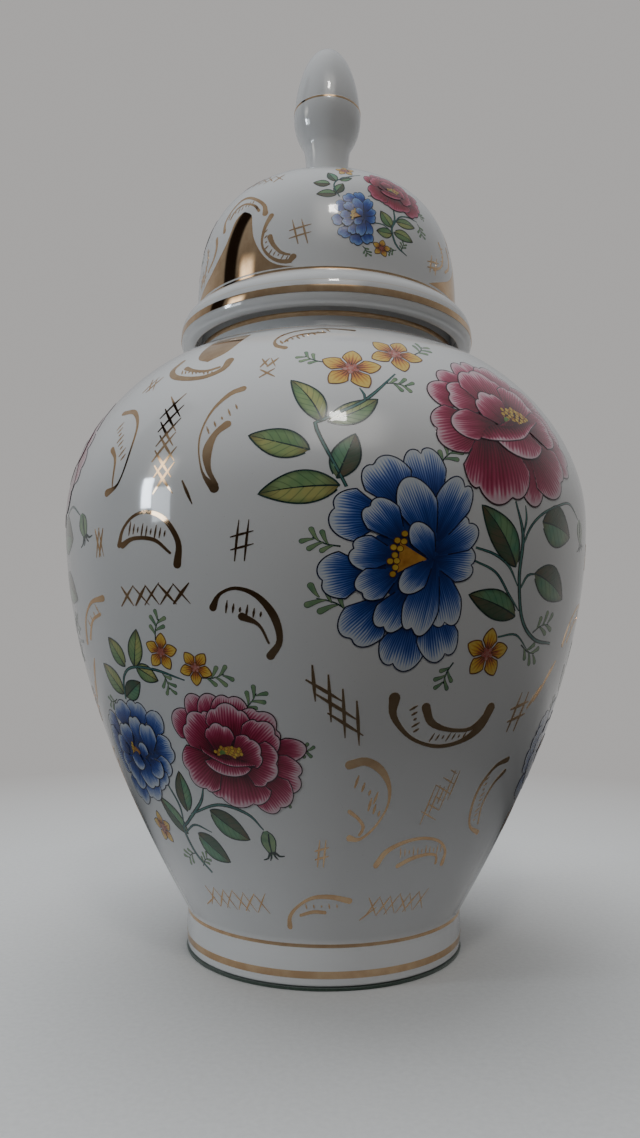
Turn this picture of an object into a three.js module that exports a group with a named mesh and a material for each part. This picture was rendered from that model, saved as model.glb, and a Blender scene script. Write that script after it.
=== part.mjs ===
// A lidded ginger jar in glazed porcelain: the jar, the felt under its foot,
// the lift-off lid and the acorn finial that is fixed on top of the lid.
// Lengths are in millimetres. The jar's axis is Z and the felt rests on z = 0.

import * as THREE from 'three';

const at = (radius, height) => new THREE.Vector2(radius, height);

// Driving dimensions
const gap = 0.3;
const jarSegments = 64;
const finialSegments = 40;

const belly = { radius: 125, height: 198, fullness: 58, shoulderFullness: 40 };
const foot = { radius: 64.6, height: 18.4, edge: 1.2, ringWidth: 10, recess: 3, swell: 0.3 };
const felt = { thickness: 1.2, overhang: 0.4 };
const neck = { radius: 63.8, base: 279, top: 296, edge: 1.5, fillet: 1.5 };
const wall = { side: 5.5, neck: 7.5, floor: 8, lid: 5, dome: 11 };
const flange = { radius: 73.4, bottom: 286.4, inner: 66.4, widest: 293, top: 297.2 };
const ring = { radius: 54.6, thickness: 4.2, bottom: 281, edge: 1.2 };
const dome = { radius: 65.5, base: 304.6, height: 68, squareness: 2.9, crownWall: 9 };
const finial = { foot: 11.8, waist: 10.8, kink: 399, cup: 17.7, nut: 17.0, ledge: 418.4, top: 454 };

// How far the ends of each curved stretch pull on it
const bellyPull = { footOut: 34, footUp: 59.3, neckOut: 26.5, neckDown: 6.2 };
const insidePull = { throatOut: 32, throatDown: 6, lowRadius: 90, lowHeight: 74 };
const basin = { wallIn: 4, wallUp: 6, cornerIn: 12, floorIn: 26 };
const collar = { out: 4, down: 2.6, sideIn: 0.4, sideUp: 2.6, lipIn: 2.8, lipUp: 2, innerEdge: 1.4 };
const stem = { kinkRadius: 12.2, footUp: 3, kinkDown: 8, kinkIn: 0.4 };
const acorn = {
  cupStart: at(15.2, 5),
  cupEnd: at(0.2, 10),
  ledgeDrop: 0.6,
  nutUp: 12,
  tipRadius: 11.5,
};

// Materials
const glaze = { color: 0xf1f3f4, roughness: 0.12, metalness: 0 };
const greenFelt = { color: 0x1e3a2c, roughness: 0.95, metalness: 0 };

// Points along a cubic curve, without its first point, so that stretches join up.
function curve(start, startPull, endPull, end, steps) {
  const points = new THREE.CubicBezierCurve(start, startPull, endPull, end).getPoints(steps);
  return points.slice(1);
}

// A quarter round from start to end with its corner at corner.
function round(start, corner, end, steps) {
  const points = new THREE.QuadraticBezierCurve(start, corner, end).getPoints(steps);
  return points.slice(1);
}

// A dome's section, from its edge up to the axis. Squareness 2 is an ellipse.
function domeSection(radius, base, height, squareness, steps) {
  const points = [];
  for (let i = 0; i <= steps; i += 1) {
    const turn = (i / steps) * (Math.PI / 2);
    const out = Math.cos(turn) ** (2 / squareness);
    const up = Math.sin(turn) ** (2 / squareness);
    points.push(at(i === steps ? 0 : radius * out, base + height * up));
  }
  return points;
}

function turned(name, profile, segments, look) {
  const geometry = new THREE.LatheGeometry(profile, segments);
  geometry.rotateX(Math.PI / 2);
  const mesh = new THREE.Mesh(geometry, new THREE.MeshStandardMaterial(look));
  mesh.name = name;
  return mesh;
}

// The belly's section from the foot's crease up to the neck, moved in by inset.
function bellySection(inset, steps) {
  const crease = at(foot.radius - inset, foot.height);
  const widest = at(belly.radius - inset, belly.height);
  const neckBase = at(neck.radius + gap - inset, neck.base);
  const lower = curve(
    crease,
    at(crease.x + bellyPull.footOut, foot.height + bellyPull.footUp),
    at(widest.x, belly.height - belly.fullness),
    widest,
    steps,
  );
  const upper = curve(
    widest,
    at(widest.x, belly.height + belly.shoulderFullness),
    at(neckBase.x + bellyPull.neckOut, neck.base - bellyPull.neckDown),
    neckBase,
    steps,
  );
  return [...lower, ...upper];
}

function makeJarBody() {
  const bottom = felt.thickness + gap;
  const floor = bottom + foot.recess + wall.floor;
  const mouth = neck.radius - wall.neck;
  const outside = [
    at(0, bottom + foot.recess),
    at(foot.radius - foot.ringWidth - foot.recess, bottom + foot.recess),
    at(foot.radius - foot.ringWidth, bottom),
    at(foot.radius - foot.edge, bottom),
    ...round(
      at(foot.radius - foot.edge, bottom),
      at(foot.radius, bottom),
      at(foot.radius, bottom + foot.edge),
      3,
    ),
    at(foot.radius + foot.swell, foot.height * 0.6),
    at(foot.radius, foot.height),
    ...bellySection(0, 8),
    at(neck.radius, neck.base + neck.fillet),
    at(neck.radius, neck.top - neck.edge),
    ...round(
      at(neck.radius, neck.top - neck.edge),
      at(neck.radius, neck.top),
      at(neck.radius - neck.edge, neck.top),
      3,
    ),
  ];
  const throat = neck.base - wall.side;
  const inner = belly.radius - wall.side;
  const basinEdge = at(foot.radius - basin.wallIn, foot.height + basin.wallUp);
  const inside = [
    at(mouth + neck.edge, neck.top),
    ...round(
      at(mouth + neck.edge, neck.top),
      at(mouth, neck.top),
      at(mouth, neck.top - neck.edge),
      3,
    ),
    at(mouth, throat),
    ...curve(
      at(mouth, throat),
      at(mouth + insidePull.throatOut, throat - insidePull.throatDown),
      at(inner, belly.height + belly.shoulderFullness - insidePull.throatDown),
      at(inner, belly.height),
      6,
    ),
    ...curve(
      at(inner, belly.height),
      at(inner, belly.height - belly.fullness),
      at(insidePull.lowRadius, insidePull.lowHeight),
      basinEdge,
      6,
    ),
    ...round(
      basinEdge,
      at(foot.radius - basin.cornerIn, floor),
      at(foot.radius - basin.floorIn, floor),
      4,
    ),
    at(0, floor),
  ];
  return turned('jar_body', [...outside, ...inside], jarSegments, glaze);
}

function makeFootFelt() {
  const radius = foot.radius + felt.overhang;
  const profile = [at(0, 0), at(radius, 0), at(radius, felt.thickness), at(0, felt.thickness)];
  return turned('foot_felt', profile, jarSegments, greenFelt);
}

// The lid's section runs down the outside from the top, round the overhanging
// flange, over the seat on the neck's rim, and up the inside of the locating ring.
function makeLid() {
  const seat = neck.top + gap;
  const inner = ring.radius - ring.thickness;
  const outside = domeSection(dome.radius, dome.base, dome.height, dome.squareness, 12);
  outside.reverse();
  const profile = [
    ...outside,
    ...curve(
      at(dome.radius, dome.base),
      at(dome.radius + collar.out, dome.base - collar.down),
      at(flange.radius - collar.sideIn, flange.top + collar.sideUp),
      at(flange.radius, flange.widest),
      6,
    ),
    ...round(
      at(flange.radius, flange.widest),
      at(flange.radius, flange.bottom + collar.lipUp),
      at(flange.radius - collar.lipIn, flange.bottom),
      4,
    ),
    at(flange.inner + collar.innerEdge, flange.bottom),
    at(flange.inner, flange.bottom + collar.innerEdge),
    at(flange.inner, seat),
    at(ring.radius, seat),
    at(ring.radius, ring.bottom + ring.edge),
    at(ring.radius - ring.edge, ring.bottom),
    at(inner + ring.edge, ring.bottom),
    at(inner, ring.bottom + ring.edge),
    at(inner, dome.base),
    ...domeSection(
      dome.radius - wall.dome,
      dome.base + dome.crownWall - wall.lid,
      dome.height - dome.crownWall,
      dome.squareness,
      10,
    ),
  ];
  return turned('lid', profile.reverse(), jarSegments, glaze);
}

function makeFinial() {
  const bottom = dome.base + dome.height + gap;
  const { kink, ledge, nut } = finial;
  const { cupStart, cupEnd } = acorn;
  const nutBase = at(nut, ledge + acorn.ledgeDrop);
  const profile = [
    at(0, bottom),
    at(finial.foot, bottom),
    ...curve(
      at(finial.foot, bottom),
      at(finial.waist, bottom + stem.footUp),
      at(finial.waist - stem.kinkIn, kink - stem.kinkDown),
      at(stem.kinkRadius, kink),
      5,
    ),
    ...curve(
      at(stem.kinkRadius, kink),
      at(cupStart.x, kink + cupStart.y),
      at(finial.cup + cupEnd.x, kink + cupEnd.y),
      at(finial.cup - cupEnd.x, ledge),
      8,
    ),
    nutBase,
    ...curve(
      nutBase,
      at(nut - cupEnd.x, ledge + acorn.nutUp),
      at(acorn.tipRadius, finial.top),
      at(0, finial.top),
      10,
    ),
  ];
  return turned('finial', profile, finialSegments, glaze);
}

const group = new THREE.Group();
group.add(makeJarBody(), makeFootFelt(), makeLid(), makeFinial());

export default group;
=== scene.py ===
import math
from bisect import bisect_right

import bmesh
import bpy
from mathutils import Matrix, Vector, noise


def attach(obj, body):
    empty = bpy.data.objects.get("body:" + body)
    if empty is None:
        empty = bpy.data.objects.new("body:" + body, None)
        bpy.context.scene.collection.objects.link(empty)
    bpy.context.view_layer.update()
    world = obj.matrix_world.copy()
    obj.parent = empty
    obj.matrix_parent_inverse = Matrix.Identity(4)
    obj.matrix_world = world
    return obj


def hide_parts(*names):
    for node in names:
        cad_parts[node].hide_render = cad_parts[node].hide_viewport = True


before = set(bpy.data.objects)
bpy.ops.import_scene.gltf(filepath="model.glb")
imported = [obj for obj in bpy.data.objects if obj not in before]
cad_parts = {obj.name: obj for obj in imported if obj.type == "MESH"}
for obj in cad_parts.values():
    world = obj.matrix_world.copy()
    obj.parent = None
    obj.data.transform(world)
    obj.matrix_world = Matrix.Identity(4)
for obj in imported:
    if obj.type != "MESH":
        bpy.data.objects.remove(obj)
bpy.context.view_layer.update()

mm = 0.001
fullTurn = math.tau
print("ginger jar: frame loaded")


# curves, in millimetres as (radius, height)

def cubic(start, pullA, pullB, end, steps):
    points = []
    for i in range(1, steps + 1):
        t = i / steps
        a, b, c, d = (1 - t) ** 3, 3 * t * (1 - t) ** 2, 3 * t * t * (1 - t), t ** 3
        points.append(tuple(a * p + b * q + c * r + d * s
                            for p, q, r, s in zip(start, pullA, pullB, end)))
    return points


cornerPull = 0.62


def rounded(start, corner, end, steps=5):
    pulls = [tuple(e + (c - e) * cornerPull for e, c in zip(point, corner)) for point in (start, end)]
    return cubic(start, *pulls, end, steps)


def domeCurve(radius, base, height, squareness, steps):
    points = []
    for i in range(steps + 1):
        turn = i / steps * math.pi / 2
        points.append((radius * math.cos(turn) ** (2 / squareness) if i < steps else 0,
                       base + height * math.sin(turn) ** (2 / squareness)))
    return points


def reachOf(points):
    # how far along a line each of its points lies
    reach = [0]
    for a, b in zip(points, points[1:]):
        reach.append(reach[-1] + math.dist(a, b))
    return reach


def sidesOf(line):
    # the direction square to a line at each of its points
    sides = []
    last = len(line) - 1
    for i in range(last + 1):
        a, b = line[max(i - 1, 0)], line[min(i + 1, last)]
        run, rise = b[0] - a[0], b[1] - a[1]
        size = math.hypot(run, rise) or 1
        sides.append((rise / size, -run / size))
    return sides


def evenly(points, spacing):
    # the same line with its points a steady distance apart
    reach = reachOf(points)
    count = max(2, round(reach[-1] / spacing))
    result = []
    for i in range(count + 1):
        want = reach[-1] * i / count
        k = min(max(bisect_right(reach, want) - 1, 0), len(points) - 2)
        t = (want - reach[k]) / max(reach[k + 1] - reach[k], 1e-9)
        result.append(tuple(p + (q - p) * t for p, q in zip(points[k], points[k + 1])))
    return result


def flowing(path, spacing):
    # a soft line through the points of a path, which may carry widths as well
    ends = [tuple(2 * a - b for a, b in zip(path[0], path[1])),
            tuple(2 * a - b for a, b in zip(path[-1], path[-2]))]
    full = [ends[0], *path, ends[1]]
    points = [path[0]]
    for p0, p1, p2, p3 in zip(full, full[1:], full[2:], full[3:]):
        steps = max(1, round(math.dist(p1[:2], p2[:2]) / spacing))
        for i in range(1, steps + 1):
            t = i / steps
            points.append(tuple(
                0.5 * (2 * b + (c - a) * t + (2 * a - 5 * b + 4 * c - d) * t * t
                       + (3 * b - a - 3 * c + d) * t ** 3)
                for a, b, c, d in zip(p0, p1, p2, p3)))
    return points


# making pieces

sharpAngle = 40


def keepPiece(name, sheet, finishes, body, replaced):
    bmesh.ops.remove_doubles(sheet, verts=sheet.verts, dist=1e-7)
    bmesh.ops.recalc_face_normals(sheet, faces=sheet.faces)
    mesh = bpy.data.meshes.new(name)
    sheet.to_mesh(mesh)
    sheet.free()
    return placeMesh(name, mesh, finishes, body, replaced)


def placeMesh(name, mesh, finishes, body, replaced=()):
    for finish in finishes:
        mesh.materials.append(finish)
    mesh.shade_smooth()
    mesh.set_sharp_from_angle(angle=math.radians(sharpAngle))
    piece = bpy.data.objects.new(name, mesh)
    bpy.context.scene.collection.objects.link(piece)
    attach(piece, body)
    if replaced:
        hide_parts(*replaced)
    return piece


def turnedPiece(name, section, steps, finishes, body, replaced=(), closed=False):
    clay = bmesh.new()
    line = [clay.verts.new((radius * mm, 0, height * mm)) for radius, height in section]
    edges = [clay.edges.new(pair) for pair in zip(line, line[1:])]
    if closed:
        edges.append(clay.edges.new((line[-1], line[0])))
    bmesh.ops.spin(clay, geom=line + edges, cent=(0, 0, 0), axis=(0, 0, 1), dvec=(0, 0, 0),
                   angle=fullTurn, steps=steps, use_merge=True)
    return keepPiece(name, clay, finishes, body, replaced)


# shader helpers

def newFinish(name, roughness, **settings):
    finish = bpy.data.materials.new(name)
    finish.use_nodes = True
    tree = finish.node_tree
    shader = tree.nodes["Principled BSDF"]
    shader.inputs["Roughness"].default_value = roughness
    for key, value in settings.items():
        shader.inputs[key.replace("_", " ")].default_value = value
    return finish, tree, shader


def wire(tree, kind, inputs=(), **settings):
    # one node, its settings, and its inputs as values or as the sockets that feed them
    node = tree.nodes.new("ShaderNode" + kind)
    for key, value in settings.items():
        setattr(node, key, value)
    for key, value in dict(inputs).items():
        if isinstance(value, bpy.types.NodeSocket):
            tree.links.new(value, node.inputs[key])
        else:
            node.inputs[key].default_value = value
    return node


def scaled(tree, value, share, start):
    return wire(tree, "Math", {0: value, 1: share, 2: start}, operation="MULTIPLY_ADD").outputs[0]


def sums(tree, operation, a, b=0.0):
    return wire(tree, "Math", {0: a, 1: b}, operation=operation).outputs[0]


def times(tree, a, b):
    return sums(tree, "MULTIPLY", a, b)


def ramped(tree, factor, stops):
    node = wire(tree, "ValToRGB", {"Fac": factor})
    steps = node.color_ramp.elements
    while len(steps) < len(stops):
        steps.new(0.5)
    for step, (place, colour) in zip(steps, stops):
        step.position = place
        step.color = (*colour, 1) if isinstance(colour, tuple) else (colour, colour, colour, 1)
    return node.outputs[0]


def blended(tree, factor, a, b):
    node = tree.nodes.new("ShaderNodeMix")
    node.data_type = "RGBA"
    for index, value in ((0, factor), (6, a), (7, b)):
        if isinstance(value, bpy.types.NodeSocket):
            tree.links.new(value, node.inputs[index])
        else:
            node.inputs[index].default_value = (*value, 1) if isinstance(value, tuple) else value
    return node.outputs[2]


def speckle(tree, scale, detail, roughness=0.5, vector=None):
    place = vector or wire(tree, "TexCoord").outputs["Object"]
    return wire(tree, "TexNoise", {"Vector": place, "Scale": scale, "Detail": detail,
                                   "Roughness": roughness}).outputs["Fac"]


def colourWith(tree, shader, colour):
    tree.links.new(colour, shader.inputs["Base Color"])


def relief(tree, shader, height, strength, distance):
    bump = wire(tree, "Bump", {"Height": height, "Strength": strength, "Distance": distance})
    tree.links.new(bump.outputs[0], shader.inputs["Normal"])


# finishes

glazeLook = {
    "white": (0.82, 0.82, 0.815), "cool": (0.765, 0.775, 0.785), "pinhole": (0.45, 0.42, 0.38),
    "waviness": 26, "pinholes": 2600, "biscuit": (0.70, 0.66, 0.60), "clouds": 7,
    "sheen": (0.06, 0.07), "bareSheen": 0.7, "sheenGrain": 60, "waveHeight": 0.0006,
    "clearCoat": {"Coat_Weight": 1.0, "Coat_IOR": 1.5},
    "bareJar": (0.29555, 0.29605), "bareLid": (0.29610, 0.29650), "noBareRing": (-2, -1),
}


def glazeFinish(name, bareLow, bareHigh):
    # bareLow and bareHigh bound the ring that is wiped clean of glaze, in metres
    look = glazeLook
    finish, tree, shader = newFinish(name, 0.12, Coat_Roughness=0.02, **look["clearCoat"])
    cloud = speckle(tree, look["clouds"], 3)
    colour = blended(tree, ramped(tree, cloud, [(0.35, 0.0), (0.7, 1.0)]), look["white"], look["cool"])
    dust = ramped(tree, speckle(tree, look["pinholes"], 0), [(0.83, 0.0), (0.87, 0.5)])
    colour = blended(tree, dust, colour, look["pinhole"])
    height = wire(tree, "SeparateXYZ", {0: wire(tree, "TexCoord").outputs["Object"]}).outputs["Z"]
    above = sums(tree, "GREATER_THAN", height, bareLow)
    below = sums(tree, "LESS_THAN", height, bareHigh)
    bare = times(tree, above, below)
    colour = blended(tree, bare, colour, look["biscuit"])
    colourWith(tree, shader, colour)
    sheen = scaled(tree, speckle(tree, look["sheenGrain"], 3), *look["sheen"])
    tree.links.new(sums(tree, "MAXIMUM", sheen, times(tree, bare, look["bareSheen"])),
                   shader.inputs["Roughness"])
    relief(tree, shader, speckle(tree, look["waviness"], 1), 0.12, look["waveHeight"])
    return finish


goldLook = {
    "bright": (0.84, 0.60, 0.37), "worn": (0.72, 0.48, 0.28), "grain": 160,
    "roughness": (0.05, 0.03), "roughGrain": 60,
}


def goldFinish():
    look = goldLook
    finish, tree, shader = newFinish("goldLustre", 0.16, Metallic=1.0)
    brushed = speckle(tree, look["grain"], 4, 0.6)
    colour = blended(tree, ramped(tree, brushed, [(0.38, 0.0), (0.62, 1.0)]),
                     look["worn"], look["bright"])
    colourWith(tree, shader, colour)
    rough = scaled(tree, speckle(tree, look["roughGrain"], 3), *look["roughness"])
    tree.links.new(rough, shader.inputs["Roughness"])
    return finish


def enamel(name):
    return newFinish(name, 0.22, Coat_Roughness=0.03, **glazeLook["clearCoat"])


def petalWay(tree):
    # across runs 0 in the middle of a petal to 1 at its sides, along from its base to its edge
    split = wire(tree, "SeparateXYZ", {0: wire(tree, "UVMap", uv_map="petal").outputs[0]})
    across, along = split.outputs["X"], split.outputs["Y"]
    centred = scaled(tree, sums(tree, "FRACT", across), 2.0, -1.0)
    return across, along, sums(tree, "ABSOLUTE", centred)


def petalFinish(name, look):
    finish, tree, shader = enamel(name)
    across, along, side = petalWay(tree)
    drift = wire(tree, "CombineXYZ", {0: times(tree, across, 7.0),
                                      1: times(tree, along, 1.3)}).outputs[0]
    cloud = speckle(tree, 1, 2, 0.6, drift)
    phase = sums(tree, "ADD", times(tree, across, look["rays"] * fullTurn),
                 times(tree, cloud, 7.0))
    ray = scaled(tree, sums(tree, "SINE", phase), 0.5, 0.5)
    sideways = times(tree, times(tree, side, side), 0.36)
    edgeward = sums(tree, "MAXIMUM", along,
                    sums(tree, "ADD", sideways, times(tree, along, 0.58)))
    ragged = sums(tree, "ADD", times(tree, sums(tree, "SUBTRACT", cloud, 0.5), 0.55),
                  times(tree, sums(tree, "SUBTRACT", ray, 0.5), look["streak"]))
    still = ramped(tree, edgeward, [(0.86, 1.0), (0.97, 0.0)])
    reach = sums(tree, "ADD", edgeward, times(tree, ragged, still))
    colour = ramped(tree, reach, look["blend"])
    hair = ramped(tree, ray, [(0.12, 1.0), (0.40, 0.0)])
    fade = ramped(tree, along, [(0.10, 0.5), (0.45, 1.0), (0.88, 0.0)])
    hair = times(tree, hair, times(tree, fade, look["hairStrength"]))
    colour = blended(tree, hair, colour, look["hair"])
    flank = times(tree, ramped(tree, side, [(0.86, 0.0), (0.98, 0.75)]),
                 ramped(tree, along, [(0.30, 0.0), (0.62, 1.0)]))
    colour = blended(tree, flank, colour, look["rim"])
    colourWith(tree, shader, colour)
    relief(tree, shader, ray, 0.12, 0.0002)
    return finish


blueLook = {
    "blend": [(0.14, (0.012, 0.026, 0.13)), (0.42, (0.028, 0.075, 0.34)),
              (0.62, (0.070, 0.150, 0.51)), (0.75, (0.24, 0.34, 0.63)),
              (0.86, (0.53, 0.60, 0.74)), (1.0, (0.74, 0.77, 0.80))],
    "hair": (0.018, 0.040, 0.22), "hairStrength": 0.75, "rays": 24, "streak": 0.24,
    "rim": (0.50, 0.58, 0.72),
}
pinkLook = {
    "blend": [(0.10, (0.070, 0.002, 0.010)), (0.42, (0.25, 0.009, 0.042)),
              (0.68, (0.41, 0.028, 0.095)), (0.82, (0.56, 0.12, 0.21)),
              (0.91, (0.72, 0.38, 0.46)), (1.0, (0.82, 0.64, 0.69))],
    "hair": (0.11, 0.004, 0.020), "hairStrength": 0.5, "rays": 24, "streak": 0.16,
    "rim": (0.70, 0.37, 0.44),
}
yellowLook = {
    "blend": [(0.12, (0.50, 0.12, 0.10)), (0.34, (0.62, 0.20, 0.05)),
              (0.60, (0.80, 0.46, 0.06)), (0.88, (0.84, 0.60, 0.12)), (1.0, (0.78, 0.52, 0.12))],
    "hair": (0.40, 0.08, 0.04), "hairStrength": 0.7, "rays": 6, "streak": 0.2,
    "rim": (0.82, 0.58, 0.14),
}


def deeper(look, shares):
    # the same petals with less red, green or blue light sent back
    def dimmed(colour):
        return tuple(c * share for c, share in zip(colour, shares))

    return {**look, "blend": [(place, dimmed(colour)) for place, colour in look["blend"]],
            "rim": dimmed(look["rim"])}


leafLook = {
    "firstLeaves": 4,
    "olive": ((0.52, 0.50, 0.17), (0.34, 0.46, 0.17)),
    "oliveShade": ((0.24, 0.39, 0.17), (0.13, 0.30, 0.13)),
    "cool": ((0.22, 0.38, 0.19), (0.10, 0.30, 0.18)),
    "coolShade": ((0.12, 0.075, 0.055), (0.050, 0.095, 0.060)),
    "vein": (0.03, 0.11, 0.05), "tips": (0.14, 0.08, 0.035), "rim": (0.03, 0.08, 0.035),
    "veins": 7.0, "veinSlant": 1.6,
}


def leafFinish():
    look = leafLook
    finish, tree, shader = enamel("leafEnamel")
    across, along, side = petalWay(tree)
    cloud = ramped(tree, speckle(tree, 90, 3), [(0.38, 0.0), (0.62, 1.0)])
    # the first leaves of a spray are a yellow green, the others a cooler one
    which = sums(tree, "GREATER_THAN", across, look["firstLeaves"])
    half = ramped(tree, sums(tree, "FRACT", across), [(0.47, 1.0), (0.53, 0.0)])
    sunny = blended(tree, cloud, *look["olive"])
    sunny = blended(tree, which, sunny, blended(tree, cloud, *look["cool"]))
    shady = blended(tree, cloud, *look["oliveShade"])
    shady = blended(tree, which, shady, blended(tree, cloud, *look["coolShade"]))
    colour = blended(tree, times(tree, half, 0.85), sunny, shady)
    slant = sums(tree, "SUBTRACT", times(tree, along, look["veins"]),
                 times(tree, side, look["veinSlant"]))
    vein = ramped(tree, sums(tree, "PINGPONG", slant, 0.5), [(0.0, 1.0), (0.13, 0.0)])
    colour = blended(tree, times(tree, vein, 0.55), colour, look["vein"])
    ends = ramped(tree, along, [(0.0, 0.75), (0.22, 0.0), (0.72, 0.0), (1.0, 0.85)])
    colour = blended(tree, ends, colour, look["tips"])
    colour = blended(tree, ramped(tree, side, [(0.66, 0.0), (1.0, 0.6)]), colour, look["rim"])
    colourWith(tree, shader, colour)
    relief(tree, shader, vein, 0.1, 0.0002)
    return finish


def inkFinish(name, dark, light):
    finish, tree, shader = enamel(name)
    colour = blended(tree, ramped(tree, speckle(tree, 240, 3), [(0.35, 0.0), (0.65, 1.0)]), dark, light)
    colourWith(tree, shader, colour)
    return finish


glazeJar = glazeFinish("porcelainJar", *glazeLook["bareJar"])
glazeLid = glazeFinish("porcelainLid", *glazeLook["bareLid"])
glazeFinial = glazeFinish("porcelainFinial", *glazeLook["noBareRing"])
gold = goldFinish()
blueEnamel = petalFinish("blueEnamel", blueLook)
pinkEnamel = petalFinish("pinkEnamel", pinkLook)
yellowEnamel = petalFinish("yellowEnamel", yellowLook)
lidShares = {"blue": (0.30, 0.52, 0.95), "pink": (0.82, 0.28, 0.42)}
blueOnLid = petalFinish("blueOnLid", deeper(blueLook, lidShares["blue"]))
pinkOnLid = petalFinish("pinkOnLid", deeper(pinkLook, lidShares["pink"]))
leafEnamel = leafFinish()
inkColours = {
    "navyInk": ((0.006, 0.010, 0.045), (0.015, 0.022, 0.08)),
    "plumInk": ((0.035, 0.004, 0.015), (0.07, 0.008, 0.03)),
    "deepBlue": ((0.014, 0.032, 0.15), (0.022, 0.055, 0.24)),
    "deepPink": ((0.10, 0.006, 0.022), (0.16, 0.010, 0.040)),
    "greenInk": ((0.008, 0.028, 0.026), (0.020, 0.060, 0.050)),
    "brownInk": ((0.10, 0.03, 0.01), (0.22, 0.07, 0.02)),
    "stamenYellow": ((0.60, 0.34, 0.04), (0.80, 0.56, 0.08)),
    "stamenGreen": ((0.10, 0.22, 0.05), (0.22, 0.36, 0.08)),
    "stemTeal": ((0.045, 0.16, 0.16), (0.10, 0.26, 0.22)),
    "sageGreen": ((0.16, 0.30, 0.17), (0.30, 0.42, 0.22)),
    "stamenPink": ((0.42, 0.12, 0.10), (0.62, 0.30, 0.26)),
    "coneOrange": ((0.44, 0.17, 0.03), (0.68, 0.34, 0.06)),
}
inks = {name: inkFinish(name, *shades) for name, shades in inkColours.items()}
print("finishes mixed")


# the turned porcelain

jar = {
    "belly": 125, "bellyHeight": 198, "fullness": 58, "shoulder": 40,
    "foot": 64.6, "footTop": 18.4, "footBottom": 1.5, "footEdge": 1.2, "footRing": 10, "recess": 3,
    "neck": 63.8, "neckBase": 279, "neckTop": 296, "neckEdge": 1.5, "mouth": 56.3,
    "wall": 5.5, "floor": 12.5, "steps": 256, "spacing": 3.0,
    "lowerPull": (34, 77.7), "upperPull": (90.6, 272.8), "neckFlare": 0.3, "neckCrease": 1.5,
    "insideNeck": 273.5, "insideShoulder": (88.3, 267.5), "insideUpper": 232, "insideLower": 140,
    "insideFlank": (90, 74), "basinEdge": (60.6, 24.4), "basinCorner": 52.6, "basinFlat": 38.6,
}
lid = {
    "dome": 65.5, "domeBase": 304.6, "domeHeight": 68, "squareness": 2.9, "spacing": 2.2,
    "flange": 73.4, "flangeBottom": 286.4, "flangeWidest": 293, "seat": 296.3,
    "ring": 54.6, "ringInner": 50.4, "ringBottom": 281, "ringEdge": 1.2, "steps": 192,
    "collarPulls": ((69.5, 302), (73, 299.8)), "collarSteps": 16, "rollEdge": 1.2, "rollWidth": 2.8,
    "rollInner": 67.8, "rollInside": 66.4, "rollInsideEdge": 1.4,
    "insideDome": 54.5, "insideBase": 308.6, "insideHeight": 59,
}
finial = {
    "bottom": 372.9, "foot": 11.8, "kink": (12.2, 399), "cup": (17.5, 418.4),
    "nut": (17.0, 419), "nutCrease": (17.2, 418.9), "top": 454, "steps": 96,
    "stemPulls": ((10.8, 375.9), (10.4, 391)), "cupPulls": ((15.2, 404), (17.9, 409)),
    "nutPulls": ((16.8, 431), (11.5, 454)),
}


def bellyLine():
    # the outside of the belly from the crease above the foot up to the neck
    j = jar
    crease, widest = (j["foot"], j["footTop"]), (j["belly"], j["bellyHeight"])
    neckFoot = (j["neck"] + j["neckFlare"], j["neckBase"])
    out, up = j["lowerPull"]
    lower = cubic(crease, (j["foot"] + out, up), (j["belly"], j["bellyHeight"] - j["fullness"]), widest, 80)
    upper = cubic(widest, (j["belly"], j["bellyHeight"] + j["shoulder"]), j["upperPull"], neckFoot, 60)
    return [crease, *lower, *upper]


footSwell = ((0, jar["footBottom"]), (0.25, 8), (0.3, 11), (0.15, 16.5), (0, jar["footTop"]))
footLine = [(jar["foot"] + swell, height) for swell, height in footSwell]
belly = evenly(bellyLine(), jar["spacing"])


def makeJarBody():
    j = jar
    bottom, edge, rim = j["footBottom"], j["footEdge"], j["neckEdge"]
    under, hollow = j["foot"] - j["footRing"], bottom + j["recess"]
    neck, mouth, top, inside = j["neck"], j["mouth"], j["neckTop"], j["belly"] - j["wall"]
    section = [
        (0, hollow), (under - j["recess"], hollow),
        *rounded((under - j["recess"], hollow), (under - 1, hollow), (under, bottom)),
        (j["foot"] - edge, bottom),
        *rounded((j["foot"] - edge, bottom), (j["foot"], bottom), (j["foot"], bottom + edge)),
        *footLine[1:-1], *belly,
        (neck, j["neckBase"] + j["neckCrease"]), (neck, top - rim),
        *rounded((neck, top - rim), (neck, top), (neck - rim, top)),
        (mouth + rim, top),
        *rounded((mouth + rim, top), (mouth, top), (mouth, top - rim)),
        (mouth, j["insideNeck"]),
        *cubic((mouth, j["insideNeck"]), j["insideShoulder"], (inside, j["insideUpper"]),
               (inside, j["bellyHeight"]), 20),
        *cubic((inside, j["bellyHeight"]), (inside, j["insideLower"]), j["insideFlank"], j["basinEdge"], 28),
        *rounded(j["basinEdge"], (j["basinCorner"], j["floor"]), (j["basinFlat"], j["floor"]), 8),
        (0, j["floor"]),
    ]
    turnedPiece("jarBody", section, j["steps"], [glazeJar], "jar", ["jar_body"])


def flangeLine():
    # the lid's collar from the foot of the dome, out over the flange and in under it
    side, low, edge, width = lid["flange"], lid["flangeBottom"], lid["rollEdge"], lid["rollWidth"]
    start, widest = (lid["dome"], lid["domeBase"]), (lid["flange"], lid["flangeWidest"])
    return [
        start, *cubic(start, *lid["collarPulls"], widest, lid["collarSteps"]),
        *cubic(widest, (side, low + edge), (side - edge, low), (side - width, low), 8),
    ]


domeLine = evenly(domeCurve(lid["dome"], lid["domeBase"], lid["domeHeight"], lid["squareness"], 220),
                  lid["spacing"])


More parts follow.
